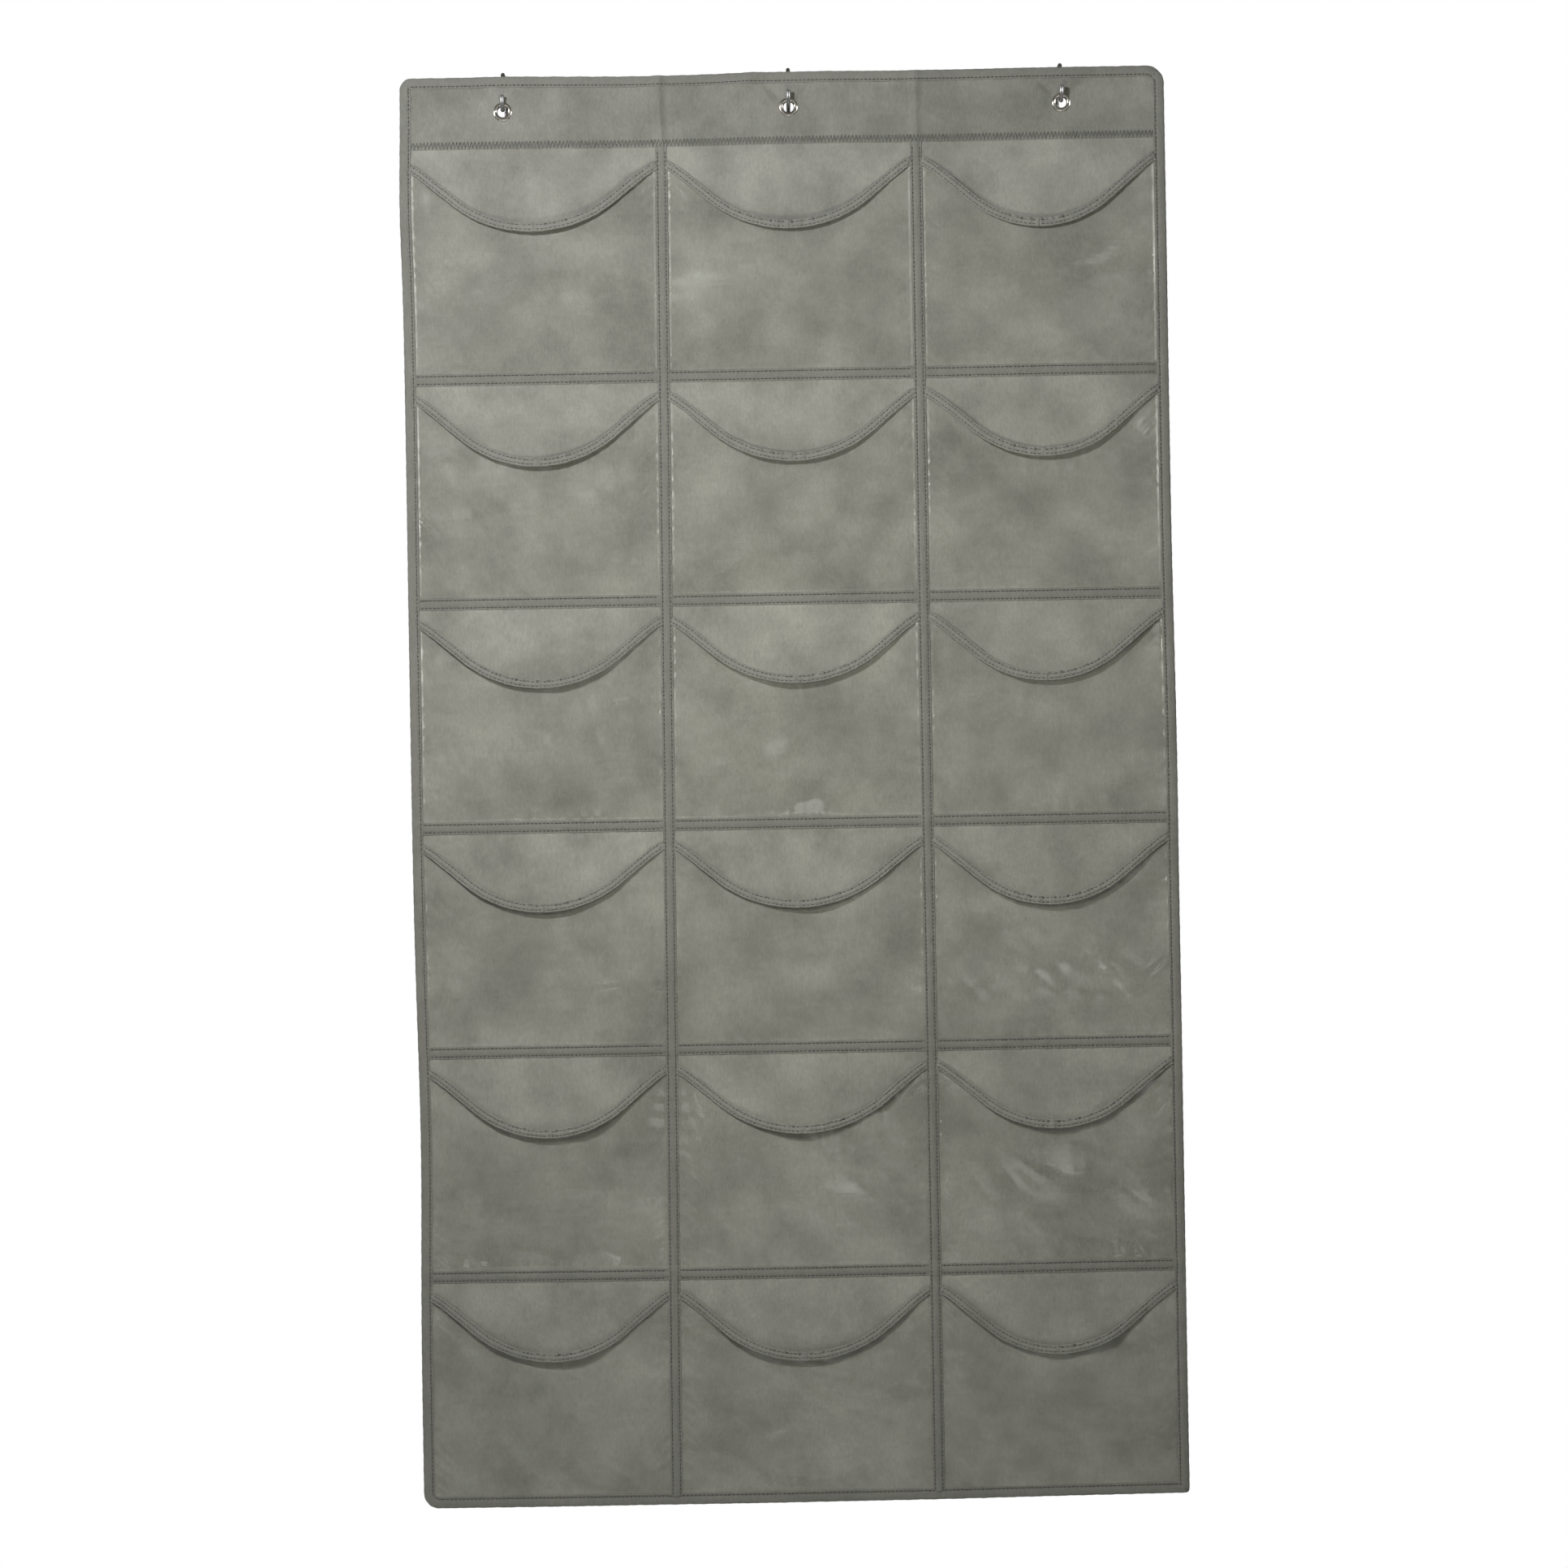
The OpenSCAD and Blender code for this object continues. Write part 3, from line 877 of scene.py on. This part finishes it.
    def lift(self, x, z):
        """How far the film stands forward of the cloth."""
        from_side = self.half - np.abs(x - self.mid)
        from_bottom = z - self.bottom
        from_seam = np.minimum(from_side, from_bottom)
        across = (x - self.mid) / self.half
        arch = np.clip(1 - across**2, 0, None)
        up = np.clip(from_bottom / REACH, 0, 1)
        belly = (self.depth - 1.6 * MM) * arch * up * (2 - up) * self.fill
        belly = belly * (1 + self.lean * across)
        loose = ramp(from_side / (20 * MM)) * ramp(from_bottom / (16 * MM))
        shape = belly + (self.folds(x, z) + self.corner_pulls(x, z)) * loose
        gathers = self.mouth_gathers(x, self.mouth(x) - z, across)
        shape = shape + gathers * ramp(from_side / (9 * MM))
        hem = self.hem_gathers(x, z, from_side, from_bottom)
        shape = shape + hem * ramp(from_seam / (3 * MM))
        welt = 0.5 * MM * ramp(from_seam / (1.8 * MM)) + self.nips(z, from_side)
        return 0.3 * MM + welt + np.maximum(shape, -0.1 * MM)

    def puckered(self, x, z):
        """The film's lift under the mouth's tape, with the dips that gathering leaves."""
        down = self.mouth(x) - z
        beat = np.sin(2 * math.pi * x / (8.6 * MM) + 1.3 * np.sin(x / (17 * MM) + self.phase[4]))
        dips = np.clip(beat, 0, 1) ** 3 * bell(down - 0.9 * MM, 1.5 * MM)
        middle_part = bell((x - self.mid) / self.half - self.dent_at, 0.45)
        return self.lift(x, z) - 1.7 * MM * dips * middle_part

    def bend(self, piece, side):
        """Bakes the piece's placement into its mesh."""
        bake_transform(piece)


FILM_PITCH = 2.0 * MM
SEAM_STEPS = np.array([0.0, 0.5, 1.0, 1.5, 2.1, 3.0]) * MM
HALVES = (("left", -1), ("right", 1))


def make_film(pocket):
    left = np.concatenate([[-UNDER], SEAM_STEPS, np.linspace(
        SEAM_STEPS[-1] + FILM_PITCH, pocket.half, int(pocket.half / FILM_PITCH)
    )])
    x = np.concatenate([pocket.x0 + left, pocket.x1 - left[-2::-1]])[None, :]
    columns = x.size
    top = pocket.mouth(np.clip(x, pocket.x0, pocket.x1))
    start = pocket.bottom - UNDER
    rows = np.concatenate([[-UNDER], SEAM_STEPS, np.linspace(
        SEAM_STEPS[-1] + FILM_PITCH, pocket.corner - pocket.bottom,
        int((pocket.corner - pocket.bottom) / FILM_PITCH),
    )]) + UNDER
    count = rows.size
    z = start + (top - 0.5 * MM - start) * (rows / rows[-1])[:, None]
    x = np.broadcast_to(x, z.shape)
    points = on_cloth(x, z, pocket.lift(x, z))
    normals = np.cross(np.gradient(points, axis=0), np.gradient(points, axis=1))
    normals /= -np.linalg.norm(normals, axis=2)[:, :, None]
    normals *= np.sign(-normals[:, :, 1:2])
    cut = columns // 2
    for side, sign in HALVES:
        part = slice(0, cut + 1) if sign < 0 else slice(cut, columns)
        piece = make_mesh(
            f"film_{pocket.name}_{side}", points[:, part], [grid_faces(count, cut + 1)]
        )
        piece.data.normals_split_custom_set_from_vertices(normals[:, part].reshape(-1, 3).tolist())
        finished(piece, FILM)
        pocket.bend(piece, sign)
        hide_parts(f"pocket_film_{pocket.name}")


MOUTH_SECTION = [
    (-0.35 * MM, 0.05 * MM, 1), (-0.2 * MM, 0.5 * MM, 1), (0.35 * MM, 0.78 * MM, 1),
    (0.9 * MM, 0.66 * MM, 1), (1.4 * MM, 0.4 * MM, 1), (1.9 * MM, 0.7 * MM, 1),
    (2.6 * MM, 1.0 * MM, 1), (3.4 * MM, 1.05 * MM, 1), (4.2 * MM, 0.8 * MM, 1),
    (4.7 * MM, 0.4 * MM, 1), (5.2 * MM, 0.66 * MM, 1), (5.9 * MM, 0.8 * MM, 1),
    (6.35 * MM, 0.55 * MM, 1), (6.5 * MM, 0.1 * MM, 1),
    (6.3 * MM, -0.25 * MM, 0), (3.2 * MM, -0.45 * MM, 0), (0.2 * MM, -0.35 * MM, 0),
]


def make_mouth(pocket):
    seed = 3 * pocket.row + pocket.column
    for side, sign in HALVES:
        x = pocket.mid + sign * np.linspace(pocket.half, 0, 111)
        x = x if sign < 0 else x[::-1]
        path = Path(x, pocket.mouth(x), turn=-1)
        piece = strip(f"mouth_tape_{pocket.name}_{side}", path, MOUTH_SECTION, seed,
                      ground=pocket.puckered, waver=0.2 * MM, swell=0.2 * MM)
        finished(piece, MOUTH_TAPE)
        pocket.bend(piece, sign)
        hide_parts(f"mouth_binding_{pocket.name}")
        lines = [
            stitch_line(path, n, 0.3 * MM, pocket.puckered, 1.7 * MM) for n in (1.4 * MM, 4.7 * MM)
        ]
        seam = sew(f"mouth_stitches_{pocket.name}_{side}", lines)
        finished(seam, SHADED_THREAD)
        pocket.bend(seam, sign)


# ---------------------------------------------------------------- assembly
panel = make_panel()
header = make_header()
edge_lines = make_edge_bindings()
column_lines = make_column_tapes()
row_lines = make_row_tapes()
for label, lines in (
    ("edge_stitches", edge_lines), ("column_stitches", column_lines),
    ("row_stitches", row_lines), ("header_zigzag", zigzag()),
):
    on_panel(sew(label, lines), ZIGZAG_THREAD if "zigzag" in label else SHADED_THREAD, "binding_tape")
for row in ROWS:
    for column in COLUMNS:
        pocket = Pocket(row, column)
        make_film(pocket)
        make_mouth(pocket)

for name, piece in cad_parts.items():
    if name.endswith(("eyelet", "washer", "hook")):
        steel = name.endswith("hook")
        finished(piece, WIRE if steel else NICKEL)
        piece.data.polygons.foreach_set("use_smooth", [True] * len(piece.data.polygons))
        piece.data.set_sharp_from_angle(angle=math.radians(38))
        if steel:
            rounding = piece.modifiers.new("rounding", "BEVEL")
            rounding.width, rounding.segments = 0.5 * MM, 3
            rounding.limit_method, rounding.angle_limit = "ANGLE", math.radians(60)


# ---------------------------------------------------------------- studio
# Camera: aim in the panel's plane, width seen there, distance in metres, roll
VIEW_X, VIEW_Z = -12.4 * MM, -542 * MM
VIEW_WIDTH = 1190 * MM
VIEW_FAR = 3.4
VIEW_ROLL = math.radians(1.0)


def make_camera():
    data = bpy.data.cameras.new("camera")
    data.sensor_width = 36
    data.lens = 36 * VIEW_FAR / VIEW_WIDTH
    data.clip_end = 50
    camera = bpy.data.objects.new("camera", data)
    camera.location = (VIEW_X, FABRIC_FRONT - VIEW_FAR, VIEW_Z)
    camera.rotation_euler = (math.pi / 2, VIEW_ROLL, 0)
    bpy.context.scene.collection.objects.link(camera)
    bpy.context.scene.camera = camera


# What the lamps face, and where the floor lies, in metres
LIT_POINT = (0, 0, -0.55)
FLOOR_Z = -1.3
FLOOR_X = (-0.9, 0.9)
FLOOR_Y = (-1.3, 0.5)


def add_light(name, kind, place, power, **settings):
    data = bpy.data.lights.new(name, kind)
    data.energy = power
    for key, value in settings.items():
        setattr(data, key, value)
    lamp = bpy.data.objects.new(name, data)
    lamp.location = place
    facing = Vector(LIT_POINT) - Vector(place)
    lamp.rotation_euler = facing.to_track_quat("-Z", "Y").to_euler()
    bpy.context.scene.collection.objects.link(lamp)
    return lamp


def make_lights():
    """A soft key high on the left, a weak fill, and panels that only the gloss reflects.

    Each panel is a disk: name, place in metres, power in watts, diameter in metres."""
    key = add_light("key", "POINT", (-0.45, -1.01, 0.15), 39.5, shadow_soft_size=0.05,
                    color=(1, 1, 1.03))
    fill = add_light("fill", "POINT", (-0.02, -0.563, -0.454), 3.45, shadow_soft_size=0.03,
                     color=(1, 1, 0.84))
    for lamp in (key, fill):
        lamp.visible_glossy = False
    panels = (
        ("left_panel", (-1.0, -4.2, -0.25), 4.4, 1.1),
        ("right_panel", (1.15, -4.2, -0.5), 4.4, 1.1),
        ("low_panel", (0.1, -3.0, -1.85), 4.2, 0.8),
        ("left_wing", (-2.2, -1.2, 0.0), 26.0, 1.0),
        ("right_wing", (2.2, -1.2, 0.0), 20.0, 1.0),
        ("left_spark", (-1.8, -2.4, 0.3), 7.0, 0.15),
        ("right_spark", (1.8, -2.4, 0.2), 7.0, 0.15),
    )
    for name, place, power, size in panels:
        lamp = add_light(name, "AREA", place, power, shape="DISK", size=size)
        lamp.visible_diffuse = False


def make_world():
    world = bpy.data.worlds.new("studio")
    bpy.context.scene.world = world
    world.use_nodes = True
    tree = world.node_tree
    back = tree.nodes["Background"]
    seen = node(tree, "ShaderNodeBackground", {"Color": (1, 1, 1, 1), "Strength": 1.0})
    back.inputs["Color"].default_value = (0.124, 0.124, 0.104, 1)
    eye = node(tree, "ShaderNodeLightPath").outputs["Is Camera Ray"]
    both = node(tree, "ShaderNodeMixShader", {0: eye, 1: back.outputs[0], 2: seen.outputs[0]})
    tree.links.new(both.outputs[0], tree.nodes["World Output"].inputs["Surface"])


def make_floor():
    x, y = cloth_grid(*FLOOR_X, *FLOOR_Y, 0.15)
    points = np.stack([x, y, np.full(x.shape, FLOOR_Z)], axis=-1)
    piece = make_mesh("studio_floor", points, [grid_faces(*x.shape)])
    piece.data.materials.append(floor_material())


bpy.context.scene.view_settings.view_transform = "Standard"
make_camera()
make_world()
make_floor()
make_lights()
